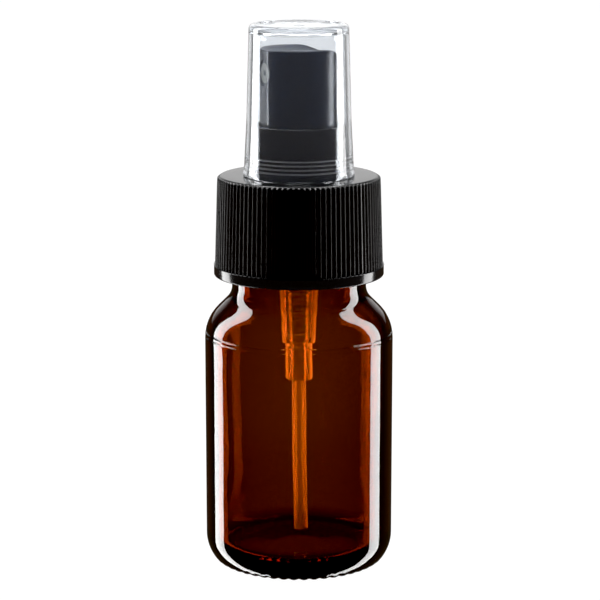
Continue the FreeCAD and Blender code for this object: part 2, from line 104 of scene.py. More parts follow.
SOCKET_Z = HOUSING_LOW.z / MM
TUBE_LOW, TUBE_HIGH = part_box("dip_tube")
TUBE_Z = TUBE_LOW.z / MM
TUBE_TOP = TUBE_HIGH.z / MM
RETURN_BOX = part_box("return_spring")
PRELOAD_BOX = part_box("precompression_spring")

# ---- sizes of details, in millimetres ----
PITCH = 3.18             # screw thread, bottle and collar
RIBS = 98                # round the collar
KNURLS = 50              # grip grooves round the bottle's heel
BEADS = 4                # snap beads inside the overcap's rim
BEAD_START = 1.4         # lowest bead above the rim
BEAD_STEP = 0.75
BEAD_DEPTH = 0.18
BEAD_WIDTH = 0.14
NOZZLE_HEADING = math.radians(204.0)
NOZZLE_Z = 92.2
TUBE_R = 1.31
NOZZLE = Vector((math.cos(NOZZLE_HEADING), math.sin(NOZZLE_HEADING), 0))


# ======================================================================== mesh tools

def outline(corners, step=math.radians(7.5)):
    """Points (r, z) of a closed half section through corners (r, z) or (r, z, corner radius)."""
    points = []
    count = len(corners)
    for index, corner in enumerate(corners):
        here = Vector(corner[:2])
        if len(corner) == 2:
            points.append(tuple(here))
            continue
        back = (Vector(corners[index - 1][:2]) - here).normalized()
        ahead = (Vector(corners[(index + 1) % count][:2]) - here).normalized()
        half = back.angle(ahead) / 2
        radius = corner[2]
        start = here + back * (radius / math.tan(half))
        end = here + ahead * (radius / math.tan(half))
        centre = here + (back + ahead).normalized() * (radius / math.sin(half))
        turn = math.pi - 2 * half
        steps = max(2, math.ceil(turn / step))
        first, last = start - centre, end - centre
        for number in range(steps + 1):
            share = number / steps
            arm = (first * math.sin((1 - share) * turn) + last * math.sin(share * turn)) / math.sin(turn)
            points.append(tuple(centre + arm))
    return points


def finer(points, longest, low=-1e9, high=1e9):
    """The same closed section with its long sides divided, between two heights."""
    made = []
    for index, (r, z) in enumerate(points):
        made.append((r, z))
        next_r, next_z = points[(index + 1) % len(points)]
        length = math.hypot(next_r - r, next_z - z)
        if length > longest and max(r, next_r) > 1e-6 and low <= (z + next_z) / 2 <= high:
            parts = math.ceil(length / longest)
            for number in range(1, parts):
                share = number / parts
                made.append((r + (next_r - r) * share, z + (next_z - z) * share))
    return made


def mesh_object(name, verts, faces, sharp=40.0):
    """Mesh object from points in millimetres, smooth but for edges sharper than an angle."""
    mesh = bpy.data.meshes.new(name)
    mesh.from_pydata([Vector(v) * MM for v in verts], [], faces)
    shape = bmesh.new()
    shape.from_mesh(mesh)
    bmesh.ops.remove_doubles(shape, verts=shape.verts, dist=1e-7)
    bmesh.ops.recalc_face_normals(shape, faces=shape.faces)
    shape.to_mesh(mesh)
    shape.free()
    mesh.shade_smooth()
    mesh.set_sharp_from_angle(angle=math.radians(sharp))
    piece = bpy.data.objects.new(name, mesh)
    bpy.context.scene.collection.objects.link(piece)
    return piece


def spin(name, points, segments, shift=None, sharp=40.0):
    """Piece turned about Z. shift(r, z, angle) may move each point and returns (r, z)."""
    verts = []
    rings = []
    for r, z in points:
        if r < 1e-6:
            rings.append([len(verts)])
            verts.append((0.0, 0.0, z))
            continue
        rings.append(list(range(len(verts), len(verts) + segments)))
        for number in range(segments):
            angle = 2 * math.pi * number / segments
            at_r, at_z = shift(r, z, angle) if shift else (r, z)
            verts.append((at_r * math.cos(angle), at_r * math.sin(angle), at_z))
    faces = []
    for index, ring in enumerate(rings):
        other = rings[(index + 1) % len(rings)]
        for number in range(segments):
            after = (number + 1) % segments
            if len(ring) == 1 and len(other) == 1:
                break
            if len(ring) == 1:
                faces.append((ring[0], other[after], other[number]))
            elif len(other) == 1:
                faces.append((ring[number], ring[after], other[0]))
            else:
                faces.append((ring[number], ring[after], other[after], other[number]))
    return mesh_object(name, verts, faces, sharp)


def sweep(name, path, radius):
    """Round bar along a list of points, closed at both ends."""
    sides = 12
    verts = []
    faces = []
    count = len(path)
    side = Vector((0, 0, 1))
    for index, point in enumerate(path):
        ahead = (path[min(index + 1, count - 1)] - path[max(index - 1, 0)]).normalized()
        across = (side - ahead * side.dot(ahead)).normalized()
        up = ahead.cross(across)
        for number in range(sides):
            angle = 2 * math.pi * number / sides
            verts.append(point + (across * math.cos(angle) + up * math.sin(angle)) * radius)
    for index in range(count - 1):
        for number in range(sides):
            after = (number + 1) % sides
            a, b = index * sides, (index + 1) * sides
            faces.append((a + number, a + after, b + after, b + number))
    faces.append(tuple(range(sides)))
    faces.append(tuple(range((count - 1) * sides, count * sides)))
    return mesh_object(name, verts, faces, 60.0)


def ridge_height(z, angle, start_z, turns):
    """Share (0 to 1) of a screw ridge's full height at a height and angle on its wall."""
    best = 0.0
    for lap in range(math.ceil(turns)):
        turn = angle / (2 * math.pi) + lap
        if turn > turns:
            continue
        off = abs(z - (start_z + PITCH * turn))
        height = min(1.0, max(0.0, (0.72 - off) / 0.36))
        run_in = min(turn, turns - turn) / 0.04
        best = max(best, height * min(1.0, run_in))
    return best


def wobble(angle, z, size, depth):
    """Gentle unevenness of moulded glass, the same on every run."""
    spot = Vector((math.cos(angle) * BODY_R, math.sin(angle) * BODY_R, z)) / size
    return noise.noise(spot) * depth


def smoothstep(low, high, value):
    """Share (0 to 1) of the way from low to high, with soft ends. High may be below low."""
    share = min(1.0, max(0.0, (value - low) / (high - low)))
    return share * share * (3 - 2 * share)


# ======================================================================== materials

def math_node(tree, operation, first, second=0.0):
    """Result of a Math node, whose inputs are numbers or other nodes' results."""
    node = tree.nodes.new("ShaderNodeMath")
    node.operation = operation
    for socket, value in zip(node.inputs, (first, second)):
        if isinstance(value, float):
            socket.default_value = value
        else:
            tree.links.new(value, socket)
    return node.outputs["Value"]


class Surface:
    """A node material built up around one Principled shader."""

    def __init__(self, name, **sockets):
        self.material = bpy.data.materials.new(name)
        self.material.use_nodes = True
        self.nodes = self.material.node_tree.nodes
        self.links = self.material.node_tree.links
        self.shader = self.nodes["Principled BSDF"]
        self.output = self.nodes["Material Output"]
        self.place = self.nodes.new("ShaderNodeTexCoord")
        for socket, value in sockets.items():
            self.shader.inputs[socket.replace("_", " ")].default_value = value

    def noise(self, scale, detail, stretch=(1, 1, 1)):
        """Noise over the piece's own place. Scale is in features per metre."""
        mapping = self.nodes.new("ShaderNodeMapping")
        mapping.inputs["Scale"].default_value = stretch
        texture = self.nodes.new("ShaderNodeTexNoise")
        texture.inputs["Scale"].default_value = scale
        texture.inputs["Detail"].default_value = detail
        self.links.new(self.place.outputs["Object"], mapping.inputs["Vector"])
        self.links.new(mapping.outputs["Vector"], texture.inputs["Vector"])
        return texture.outputs["Fac"]

    def spread(self, source, low, high, socket, start=0.3, end=0.7):
        """Feeds a shader socket with a texture, from low to high."""
        ranger = self.nodes.new("ShaderNodeMapRange")
        ranger.inputs["From Min"].default_value = start
        ranger.inputs["From Max"].default_value = end
        ranger.inputs["To Min"].default_value = low
        ranger.inputs["To Max"].default_value = high
        self.links.new(source, ranger.inputs["Value"])
        self.links.new(ranger.outputs["Result"], self.shader.inputs[socket])

    def tint(self, source, dark, light):
        """Feeds the base colour with a texture, from one colour to another."""
        ramp = self.nodes.new("ShaderNodeValToRGB")
        ramp.color_ramp.elements[0].position = 0.3
        ramp.color_ramp.elements[1].position = 0.7
        ramp.color_ramp.elements[0].color = (*dark, 1)
        ramp.color_ramp.elements[1].color = (*light, 1)
        self.links.new(source, ramp.inputs["Fac"])
        self.links.new(ramp.outputs["Color"], self.shader.inputs["Base Color"])

    def glow(self, depth):
        """Lets light scatter below the surface, to a depth in metres."""
        self.shader.inputs["Subsurface Weight"].default_value = 1.0
        self.shader.inputs["Subsurface Radius"].default_value = (1, 1, 1)
        self.shader.inputs["Subsurface Scale"].default_value = depth

    def haze(self, clear, edge_clear, start, end):
        """Makes a clear plastic milkier where it is seen edge on and light crosses more of it."""
        facing = self.nodes.new("ShaderNodeLayerWeight")
        facing.inputs["Blend"].default_value = 0.5
        self.spread(facing.outputs["Facing"], clear, edge_clear, "Transmission Weight", start, end)

    def rings(self, start, step, count, half_width, depth):
        """Paints highlight lines on a set of evenly spaced rings about Z: takes some transmission away
        along each ring so that it shows whiter, a painted highlight. Heights are in millimetres.
        """
        tree = self.material.node_tree
        split = self.nodes.new("ShaderNodeSeparateXYZ")
        self.links.new(self.place.outputs["Object"], split.inputs["Vector"])
        height = math_node(tree, "MULTIPLY", split.outputs["Z"], 1 / (step * MM))
        turn = math_node(tree, "SUBTRACT", height, start / step - 0.5)
        middle = math_node(tree, "SUBTRACT", math_node(tree, "FRACT", turn), 0.5)
        near = math_node(tree, "LESS_THAN", math_node(tree, "ABSOLUTE", middle), half_width / step)
        above = math_node(tree, "GREATER_THAN", turn, 0.0)
        below = math_node(tree, "LESS_THAN", turn, float(count))
        ring = math_node(tree, "MULTIPLY", near, math_node(tree, "MULTIPLY", above, below))
        # painted highlight: less transmission on each ring, so the ring shows as a whiter line
        kept = math_node(tree, "SUBTRACT", 1.0, math_node(tree, "MULTIPLY", ring, depth))
        socket = self.shader.inputs["Transmission Weight"]
        before = socket.links[0].from_socket
        self.links.new(math_node(tree, "MULTIPLY", before, kept), socket)

    def bump(self, source, depth, strength):
        """Raises the surface by a texture, in metres."""
        raised = self.nodes.new("ShaderNodeBump")
        raised.inputs["Distance"].default_value = depth
        raised.inputs["Strength"].default_value = strength
        self.links.new(source, raised.inputs["Height"])
        self.links.new(raised.outputs["Normal"], self.shader.inputs["Normal"])

    def absorb(self, colour, density):
        """Colours light by the depth of material that it crosses."""
        volume = self.nodes.new("ShaderNodeVolumeAbsorption")
        volume.inputs["Color"].default_value = (*colour, 1)
        volume.inputs["Density"].default_value = density
        self.links.new(volume.outputs["Volume"], self.output.inputs["Volume"])


def amber_glass():
    """Clear glass whose colour comes only from the depth that light crosses."""
    glass = Surface("amber_glass", Transmission_Weight=1.0, IOR=1.52, Roughness=0.0)
    glass.shader.inputs["Base Color"].default_value = (1, 1, 1, 1)
    glass.spread(glass.noise(90, 2.0), 0.0, 0.02, "Roughness")
    glass.bump(glass.noise(140, 1.0, (1, 1, 0.5)), 0.00004, 0.5)
    glass.absorb((0.62, 0.35, 0.05), 1870.0)
    return glass.material


def clear_cap():
    """Clear plastic, milky at its edges, with painted highlight lines along the snap beads."""
    clear = Surface("clear_cap", Transmission_Weight=0.94, IOR=1.49, Roughness=0.03)
    clear.shader.inputs["Base Color"].default_value = (0.955, 0.975, 1.0, 1)
    clear.haze(0.982, 0.6, 0.35, 0.95)
    # painted highlight: whiter rings along the snap beads, in place of their reflections
    clear.rings(CAP_Z + BEAD_START, BEAD_STEP, BEADS, 0.045, 0.28)
    clear.spread(clear.noise(300, 3.0, (1, 1, 0.3)), 0.01, 0.04, "Roughness")
    clear.bump(clear.noise(220, 2.0, (1, 1, 0.25)), 0.00001, 0.5)
    clear.absorb((0.80, 0.90, 1.0), 22.0)
    return clear.material


def black_plastic(name, colour, roughness):
    """Moulded black plastic with a very fine grain."""
    black = Surface(name, IOR=1.49)
    black.tint(black.noise(2500, 3.0), tuple(c * 0.9 for c in colour), colour)
    black.spread(black.noise(1200, 3.0), roughness * 0.95, roughness * 1.05, "Roughness")
    black.bump(black.noise(9000, 2.0), 0.000001, 0.5)
    return black.material


def natural_plastic(name, colour, clear, edge_clear, roughness):
    """Translucent uncoloured plastic, which is milkier where light crosses more of it."""
    milky = Surface(name, IOR=1.49, Transmission_Weight=clear)
    if edge_clear != clear:
        milky.haze(clear, edge_clear, 0.3, 0.7)
    milky.tint(milky.noise(500, 3.0), tuple(c * 0.96 for c in colour), colour)
    milky.spread(milky.noise(1500, 3.0), roughness * 0.8, roughness * 1.25, "Roughness")
    milky.bump(milky.noise(2500, 2.0), 0.00001, 0.4)
    milky.glow(0.002)
    return milky.material


def grey_insert():
    """Dull grey plastic of the nozzle insert."""
    grey = Surface("grey_insert", IOR=1.48)
    grey.tint(grey.noise(2500, 3.0), (0.22, 0.23, 0.22), (0.30, 0.31, 0.30))
    grey.spread(grey.noise(4000, 3.0), 0.3, 0.45, "Roughness")
    grey.bump(grey.noise(9000, 2.0), 0.000008, 0.5)
    return grey.material


def rubber(name, dark, light):
    soft = Surface(name, IOR=1.5)
    soft.tint(soft.noise(3000, 4.0), dark, light)
    soft.spread(soft.noise(2500, 3.0), 0.6, 0.8, "Roughness")
    soft.bump(soft.noise(6000, 3.0), 0.00002, 0.6)
    return soft.material


def steel(name, low, high):
    metal = Surface(name, Metallic=1.0)
    metal.tint(metal.noise(1200, 3.0), (0.52, 0.52, 0.53), (0.64, 0.64, 0.65))
    metal.spread(metal.noise(6000, 3.0, (1, 1, 0.2)), low, high, "Roughness")
    metal.bump(metal.noise(12000, 2.0, (1, 1, 0.2)), 0.000004, 0.4)
    return metal.material


AMBER = amber_glass()
CLEAR = clear_cap()
COLLAR_BLACK = black_plastic("collar_black", (0.006, 0.006, 0.0065), 0.14)
# The turret and button are black plastic. Their blue tint is painted light: a bluish lift in place of light
# scattered in the clear cap over them.
TURRET_BLACK = black_plastic("turret_black", (0.006, 0.008, 0.018), 0.09)
BUTTON_BLACK = black_plastic("button_black", (0.005, 0.013, 0.036), 0.30)
HOUSING = natural_plastic("housing_plastic", (0.92, 0.90, 0.86), 0.95, 0.2, 0.10)
TUBING = natural_plastic("tube_plastic", (0.93, 0.92, 0.89), 0.88, 0.3, 0.06)
WHITE = natural_plastic("white_plastic", (0.86, 0.86, 0.84), 0.0, 0.0, 0.35)
INSERT = grey_insert()
LINER = rubber("liner", (0.78, 0.78, 0.75), (0.88, 0.88, 0.85))
SEAL = rubber("seal_rubber", (0.02, 0.02, 0.02), (0.04, 0.04, 0.04))
SPRING = steel("spring_steel", 0.22, 0.36)
BALL = steel("ball_steel", 0.05, 0.1)


def finish_piece(piece, body, material, slot, *nodes):
    """Gives a piece its material and its body, and the CAD nodes that it stands for."""
    piece.data.materials.clear()
    piece.data.materials.append(material)
    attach(piece, body)
    if nodes:
        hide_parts(*nodes)
    return piece


# ======================================================================== bottle

def build_bottle():
    """Bottle as one closed shell: heel, body, shoulder, neck with its screw thread, and inner wall."""
    wall, neck_r, bore_r, inner_neck_r = 1.8, 12.45, 8.6, 10.4
    inner_r = BODY_R - wall
    shoulder_z = 46.0
    inner_z = shoulder_z - wall * math.tan(math.radians(22.5))
    bead_z, finish_z, floor_z = 56.2, 58.5, 2.9
    bead_r = neck_r + 1.05
    smooth_top = 53                    # above it neither wall is uneven
    thread_z, thread_low, thread_high = 61.6, 59.5, 68.2
    knurl_r, knurl_top, knurl_depth = 12.4, 1.2, 0.22
    seam_low, seam_high, seam_width = 42.4, 44.8, 0.11
    section = outline([
        (0, 1.1),
        (5.0, 1.1, 8.0),
        (11.4, 0.7, 2.0),
        (13.0, 0, 0.5),
        (15.6, 0, 1.8),
        (BODY_R, 2.9, 7.0),
        (BODY_R, shoulder_z, 8.0),
        (neck_r, shoulder_z + BODY_R - neck_r, 3.6),
        (neck_r, bead_z, 0.3),
        (bead_r, bead_z + 0.4, 0.4),
        (bead_r, bead_z + 1.4, 0.4),
        (neck_r, bead_z + 1.8, 0.3),
        (neck_r, RIM_Z, 0.5),
        (bore_r, RIM_Z, 0.7),
        (bore_r, finish_z, 1.0),
        (inner_neck_r, finish_z - 2.4, 1.0),
        (inner_neck_r, inner_z + inner_r - inner_neck_r, 3.0),
        (inner_r, inner_z, 6.2),
        (inner_r, floor_z, 3.0),
        (0, floor_z),
    ], math.radians(5))
    section = finer(section, 0.16, thread_low, thread_high)
    section = finer(section, 1.6, 0, 55)
    section = finer(section, 0.04, seam_low, seam_high)

    def shift(r, z, angle):
        outer = r > inner_r + 0.4 or z > smooth_top or z < floor_z - 0.3
        if z > thread_low - 0.5 and abs(r - neck_r) < 0.05:
            return r + 1.2 * ridge_height(z, angle, thread_z, 1.5), z
        if z < knurl_top and r > knurl_r:
            groove = (0.5 - 0.5 * math.cos(KNURLS * angle)) ** 1.5
            fade = smoothstep(knurl_top, 0.1, z) * smoothstep(knurl_r, knurl_r + 0.8, r)
            return r, z + knurl_depth * groove * fade
        if not outer:
            thick = 0.2 * smoothstep(32, 14, z) * smoothstep(2, 9, r)
            return r - thick + wobble(angle, z, 11.0, 0.06) + wobble(angle, z, 4.5, 0.015), z
        if seam_low < z < seam_high:
            upper = 0.16 * math.exp(-((z - 44.0) / seam_width) ** 2)
            lower = 0.10 * math.exp(-((z - 43.2) / seam_width) ** 2)
            return r - (upper + lower) * (0.3 + 0.7 * abs(math.cos(angle))), z
        return r, z

    piece = spin("glass_bottle", section, 400, shift, 50.0)
    return finish_piece(piece, "bottle", AMBER, "amber_glass", "bottle")


# ======================================================================== closure

def build_collar():
    """Screw collar: ribbed side over a smooth band, screw thread inside, and a holed top plate."""
    bore_r, plate_z, hole_r = 14.0, 72.1, 8.95
    band_top, root_low, root_top = 56.6, 15.24, 14.72
    rib_height, rib_half_width = 0.33, 0.30
    thread_z, thread_low, thread_high = 60.35, 59.5, 66.5
    section = outline([
        (bore_r, COLLAR_Z, 0.3),
        (BAND_R, COLLAR_Z, 0.3),
        (BAND_R, band_top, 0.2),
        (root_low, band_top),
        (root_top, COLLAR_TOP, 0.5),
        (hole_r, COLLAR_TOP, 0.15),
        (hole_r, plate_z),
        (bore_r, plate_z, 0.3),
    ], math.radians(11))
    section = finer(section, 0.12, 71.4, 72.8)
    section = finer(section, 1.5, 55, 72)
    section = finer(section, 0.25, thread_low, thread_high)

    def shift(r, z, angle):
        if abs(r - bore_r) < 0.05 and z > thread_low - 0.5:
            return r - 1.15 * ridge_height(z, angle, thread_z, 1.25), z
        if r > 14.3 and z > band_top - 0.01:
            along = (angle * RIBS / (2 * math.pi)) % 1.0 - 0.5
            across = along * 2 * math.pi * r / RIBS
            ridge = math.cos(min(1.0, abs(across) / rib_half_width) * math.pi / 2) ** 1.2
            top = smoothstep(COLLAR_TOP - 0.05, COLLAR_TOP - 0.55, z)
            return r + rib_height * ridge * top, z
        return r, z

    piece = spin("ribbed_collar", section, RIBS * 12, shift, 60.0)
    return finish_piece(piece, "collar", COLLAR_BLACK, "collar_black", "screw_collar")


def build_turret():
    """Stepped ring that guides the button and holds the overcap."""
    wall_r, guide_r, hole_r = 8.62, 7.45, 1.95
    plate_z = TURRET_FLANGE_Z + 0.6
    floor_z = TURRET_FLANGE_Z + 1.2
    section = outline([
        (hole_r, TURRET_FLANGE_Z),
        (FLANGE_R, TURRET_FLANGE_Z, 0.1),
        (FLANGE_R, plate_z, 0.1),
        (wall_r, plate_z),
        (wall_r, TURRET_TOP, 0.3),
        (guide_r, TURRET_TOP, 0.25),
        (guide_r, floor_z, 0.4),
        (hole_r, floor_z, 0.1),
    ], math.radians(11))
    piece = spin("turret_ring", section, 240)
    return finish_piece(piece, "pump", TURRET_BLACK, "turret_black", "turret")


def build_overcap():
    """Clear tapered cap with a dished crown, a flared rim and snap beads inside it."""
    wall, skirt_r, waist_r, crown_r = 0.82, 10.1, 9.62, 9.12
    waist_z, dish_r = 83.3, 7.6
    dish_z = CAP_TOP - 0.35
    gate_r, gate_z = 0.8, dish_z + 0.12
    roof_z = CAP_TOP - 1.1
    inner_low = skirt_r - wall - 0.35
    section = outline([
        (0, gate_z),
        (gate_r, gate_z, 0.08),
        (1.0, dish_z, 0.08),
        (dish_r, dish_z, 0.6),
        (dish_r + 0.5, CAP_TOP, 0.3),
        (crown_r, CAP_TOP, 0.9),
        (waist_r, waist_z, 60.0),
        (skirt_r, CAP_Z + 1.2, 0.6),
        (CAP_RIM_R, CAP_Z + 0.7, 0.3),
        (CAP_RIM_R, CAP_Z, 0.15),
        (skirt_r - wall - 0.1, CAP_Z),
        (inner_low, CAP_Z + 1.0, 0.3),
        (waist_r - wall, waist_z, 40.0),
        (crown_r - wall, roof_z, 0.9),
        (0, roof_z),
    ], math.radians(7.5))
    section = finer(section, 0.05, CAP_Z + 0.9, CAP_Z + 4.2)
    section = finer(section, 1.2)

    def shift(r, z, angle):
        if r < inner_low + 0.1 and z < CAP_Z + 5:
            bead = 0.0
            for number in range(BEADS):
                off = (z - (CAP_Z + BEAD_START + BEAD_STEP * number)) / BEAD_WIDTH
                bead = max(bead, math.exp(-off * off))
            return r - BEAD_DEPTH * bead, z
        if r < 9.0 and z < roof_z - 2:
            return r + wobble(angle, z, 6.0, 0.006), z
        return r, z

    piece = spin("clear_overcap", section, 256, shift, 50.0)
    return finish_piece(piece, "overcap", CLEAR, "clear_cap", "overcap")


# ======================================================================== push button

def build_button():
    """Push button as one shell: side, flat, rounded top edge and dished finger rest."""
    flat_at, flat_blend, wall, roof_z = 6.85, 0.06, 0.9, 93.0
    lip_z, back_z, scoop_r, edge, rim_blend = 96.4, 95.0, 16.0, 0.35, 0.25
    slope = (lip_z - back_z) / (2 * BUTTON_R)

    def side_r(angle):
        turn = (angle - NOZZLE_HEADING + math.pi) % (2 * math.pi) - math.pi
        if math.cos(turn) < 0.5:
            return BUTTON_R
        flat_r = flat_at / math.cos(turn)
        share = min(1.0, max(0.0, 0.5 + (BUTTON_R - flat_r) / (2 * flat_blend)))
        return BUTTON_R * (1 - share) + flat_r * share - flat_blend * share * (1 - share)

    def top_z(x, y):
        along = x * NOZZLE.x + y * NOZZLE.y
        across = -x * NOZZLE.y + y * NOZZLE.x
        rest = (lip_z + back_z) / 2 + slope * along + scoop_r - math.sqrt(scoop_r ** 2 - across ** 2)
        share = min(1.0, max(0.0, 0.5 + (BUTTON_TOP - rest) / (2 * rim_blend)))
        return BUTTON_TOP * (1 - share) + rest * share - rim_blend * share * (1 - share)

    segments = 288
    verts = []
    rings = []

    def add_ring(place):
        """Adds one ring of points, each from place(angle)."""
        rings.append(list(range(len(verts), len(verts) + segments)))
        for number in range(segments):
            verts.append(place(2 * math.pi * number / segments))

    def wall_ring(r, z, outer):
        def place(angle):
            at_r = side_r(angle) + r if outer else r
            return at_r * math.cos(angle), at_r * math.sin(angle), z
        add_ring(place)

    def edge_ring(share):
        def place(angle):
            turn = share * math.pi / 2
            at_r = side_r(angle) - edge * (1 - math.cos(turn))
            x, y = at_r * math.cos(angle), at_r * math.sin(angle)
            return x, y, top_z(x, y) - edge * (1 - math.sin(turn))
        add_ring(place)

    def rest_ring(share):
        def place(angle):
            at_r = (side_r(angle) - edge) * share
            x, y = at_r * math.cos(angle), at_r * math.sin(angle)
            return x, y, top_z(x, y)
        add_ring(place)

    inner = BUTTON_R - wall
    wall_ring(0.0, roof_z, False)
    wall_ring(inner - 1.0, roof_z, False)
    wall_ring(inner - 0.3, roof_z - 0.3, False)
    wall_ring(inner, roof_z - 1.0, False)
    wall_ring(inner, BUTTON_Z + 0.1, False)
    wall_ring(inner + 0.1, BUTTON_Z, False)
    wall_ring(-0.15, BUTTON_Z, True)
    wall_ring(-0.04, BUTTON_Z + 0.05, True)
    wall_ring(0.0, BUTTON_Z + 0.2, True)
    for z in np.linspace(BUTTON_Z + 1, 94.0, 16):
        wall_ring(0.0, z, True)
    for share in np.linspace(0, 1, 7):
        edge_ring(share)
    for share in np.linspace(0.97, 0.04, 26):
        rest_ring(share)
    faces = []
    for ring, other in zip(rings, rings[1:]):
        for number in range(segments):
            after = (number + 1) % segments
            faces.append((ring[number], ring[after], other[after], other[number]))
    faces.append(tuple(rings[-1]))
    shell = mesh_object("push_button", verts, faces, 45.0)

    bore_r, bore_start, bore_end = 2.35, 6.64, 8.0
    boss_r, boss_z = 2.7, 80.6
    stem_r, stem_low, stem_top = 1.75, 79.0, 89.55
    cut(shell, nozzle_rod("bore", bore_r, bore_start, bore_end), "DIFFERENCE")
    cut(shell, rod("boss", boss_r, boss_z, roof_z + 0.5), "UNION")
    cut(shell, rod("stem_hole", stem_r, stem_low, stem_top), "DIFFERENCE")
    return finish_piece(shell, "actuator", BUTTON_BLACK, "button_black", "actuator")


def rod(name, radius, low, high, segments=64):
    """Upright cylinder."""
    return spin(name, outline([(0, low), (radius, low), (radius, high), (0, high)]), segments)


def nozzle_rod(name, radius, start, end):
    """Cylinder along the nozzle's direction, from start to end away from the stem's axis."""
    tool = rod(name, radius, start, end, 96)
    tool.data.transform(nozzle_place())
    return tool


def nozzle_place():
    """Turns +Z to the nozzle's direction, at the nozzle's height."""
    across = Vector((0, 0, 1))
    side = across.cross(NOZZLE)
    turn = Matrix((side, across, NOZZLE)).transposed().to_4x4()
    return Matrix.Translation((0, 0, NOZZLE_Z * MM)) @ turn


def cut(piece, tool, operation):
    """Joins a tool to a piece or takes it away, and removes the tool."""
    modifier = piece.modifiers.new("cut", "BOOLEAN")
    modifier.object = tool
    modifier.operation = operation
    modifier.solver = "EXACT"
    made = bpy.data.meshes.new_from_object(piece.evaluated_get(bpy.context.evaluated_depsgraph_get()))
    piece.modifiers.clear()
    piece.data = made
    piece.data.shade_smooth()
    piece.data.set_sharp_from_angle(angle=math.radians(35))
    bpy.data.objects.remove(tool)


def build_insert():
    """Nozzle insert: a cup with a sunk orifice and a moulded ring on its face."""
    face, length, plate = 6.7, 2.64, 0.62
    orifice_r, cup_r, post_r = 0.2, 2.05, 1.14
    groove = face - 0.03
    section = outline([
        (orifice_r, face - plate),
        (orifice_r, face - 0.28, 0.03),
        (0.55, groove, 0.05),
        (0.75, groove, 0.05),
        (0.85, face, 0.05),
        (1.75, face, 0.05),
        (cup_r, face - 0.18, 0.1),
        (cup_r, face - length, 0.05),
        (post_r, face - length, 0.05),
        (post_r, face - plate),
    ], math.radians(12))
    piece = spin("nozzle_insert_cup", section, 96)
    piece.data.transform(nozzle_place())
    return finish_piece(piece, "actuator", INSERT, "insert_grey", "nozzle_insert")


# ======================================================================== pump

def build_housing():
    """Pump cylinder: flange on the neck, piston bore, ball cage with its seat, and tube socket."""
    seat_z, step_z, chamber_z = 42.0, 41.5, 43.0
    flange_z, flange_edge_z, shelf_z = 70.9, TURRET_FLANGE_Z, 69.9
    plug_r, bore_r, cage_r, seal_r = 4.6, 3.3, 1.6, 0.8
    hub_r, barrel_r, socket_r = 5.6, 4.3, 2.49
    cage_top, stop_z, stop_r, ball_r = 44.9, 44.5, 1.0, 1.3
    section = outline([
        (TUBE_R, seat_z - 1.3),
        (TUBE_R, 37.2),
        (2.1, SOCKET_Z, 0.05),
        (socket_r, SOCKET_Z, 0.15),
        (socket_r, step_z, 0.15),
        (3.0, step_z, 0.4),
        (3.89, 56.2, 1.0),
        (barrel_r, 57.6, 1.0),
        (barrel_r, 67.5, 0.5),
        (hub_r, 68.8, 0.3),
        (hub_r, flange_z, 0.2),
        (FLANGE_R, flange_z, 0.1),
        (FLANGE_R, flange_edge_z, 0.1),
        (plug_r, flange_edge_z, 0.1),
        (plug_r, shelf_z, 0.1),
        (bore_r, shelf_z),
        (bore_r, 56.0, 0.2),
        (2.7, 55.4, 0.2),
        (2.35, chamber_z, 0.2),
        (cage_r, chamber_z),
        (cage_r, cage_top, 0.1),
        (stop_r, cage_top, 0.1),
        (stop_r, stop_z),
        (ball_r, stop_z, 0.1),
        (ball_r, seat_z + 0.5),
        (seal_r, seat_z),
        (seal_r, seat_z - 1.3),
    ], math.radians(12))
    piece = spin("pump_cylinder", section, 128, None, 35.0)
    return finish_piece(piece, "pump", HOUSING, "housing_plastic", "pump_housing")


def build_tube():
    """Hollow dip tube, straight in its socket and slightly bowed below."""
    inner, bend_z, bow_r, slant = 0.88, 34.5, 1000.0, 0.14
    sides, rows = 48, 40
    verts = []
    for number in range(rows + 1):
        z = TUBE_TOP + (TUBE_Z - TUBE_TOP) * number / rows
        low = max(0.0, bend_z - z)
        middle = low * low / (2 * bow_r)
        for radius in (TUBE_R, inner):
            for side in range(sides):
                angle = 2 * math.pi * side / sides
                x, y = radius * math.cos(angle), radius * math.sin(angle)
                rise = slant * ((x + y) * 0.5 + TUBE_R) if number == rows else 0.0
                verts.append((middle + x, y, z + rise))
    faces = []
    for number in range(rows):
        for side in range(sides):
            after = (side + 1) % sides
            a, b = number * 2 * sides, (number + 1) * 2 * sides
            faces.append((a + side, a + after, b + after, b + side))
            faces.append((a + sides + side, b + sides + side, b + sides + after, a + sides + after))
    for base in (0, rows * 2 * sides):
        for side in range(sides):
            after = (side + 1) % sides
            faces.append((base + side, base + sides + side, base + sides + after, base + after))
    piece = mesh_object("dip_tube_pipe", verts, faces, 40.0)
    return finish_piece(piece, "pump", TUBING, "tube_plastic", "dip_tube")


def build_spring(name, node, body, box, mean_r, wire, turns):
    """Wire spring with closed end coils."""
    low, high = box[0].z / MM, box[1].z / MM
    steps = 28
    dead = 0.85
    flat = wire * 1.02
    total = turns + 2 * dead
    rise = high - low - wire
    path = []
    for number in range(int(total * steps) + 1):
        turn = number / steps
        if turn < dead:
            z = flat * turn
        elif turn > total - dead:
            z = rise - flat * (total - turn)
        else:
            z = flat * dead + (rise - 2 * flat * dead) * (turn - dead) / (total - 2 * dead)
        angle = 2 * math.pi * turn
        path.append(Vector((mean_r * math.cos(angle), mean_r * math.sin(angle), low + wire / 2 + z)))
    piece = sweep(name, path, wire / 2)
    finish_piece(piece, body, SPRING, "spring_steel", node)
    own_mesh(piece)


def dress_cad_nodes():
    """Materials for the CAD nodes that are shown as they are."""
    finishes = {
        "neck_gasket": LINER,
        "stem": WHITE,
        "stem_plug": WHITE,
        "stem_seal": SEAL,
        "piston": WHITE,
        "valve_pin": WHITE,
        "inlet_ball": BALL,
    }
    for node, material in finishes.items():
        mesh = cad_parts[node].data
        mesh.materials.clear()
        mesh.materials.append(material)


# ======================================================================== stage

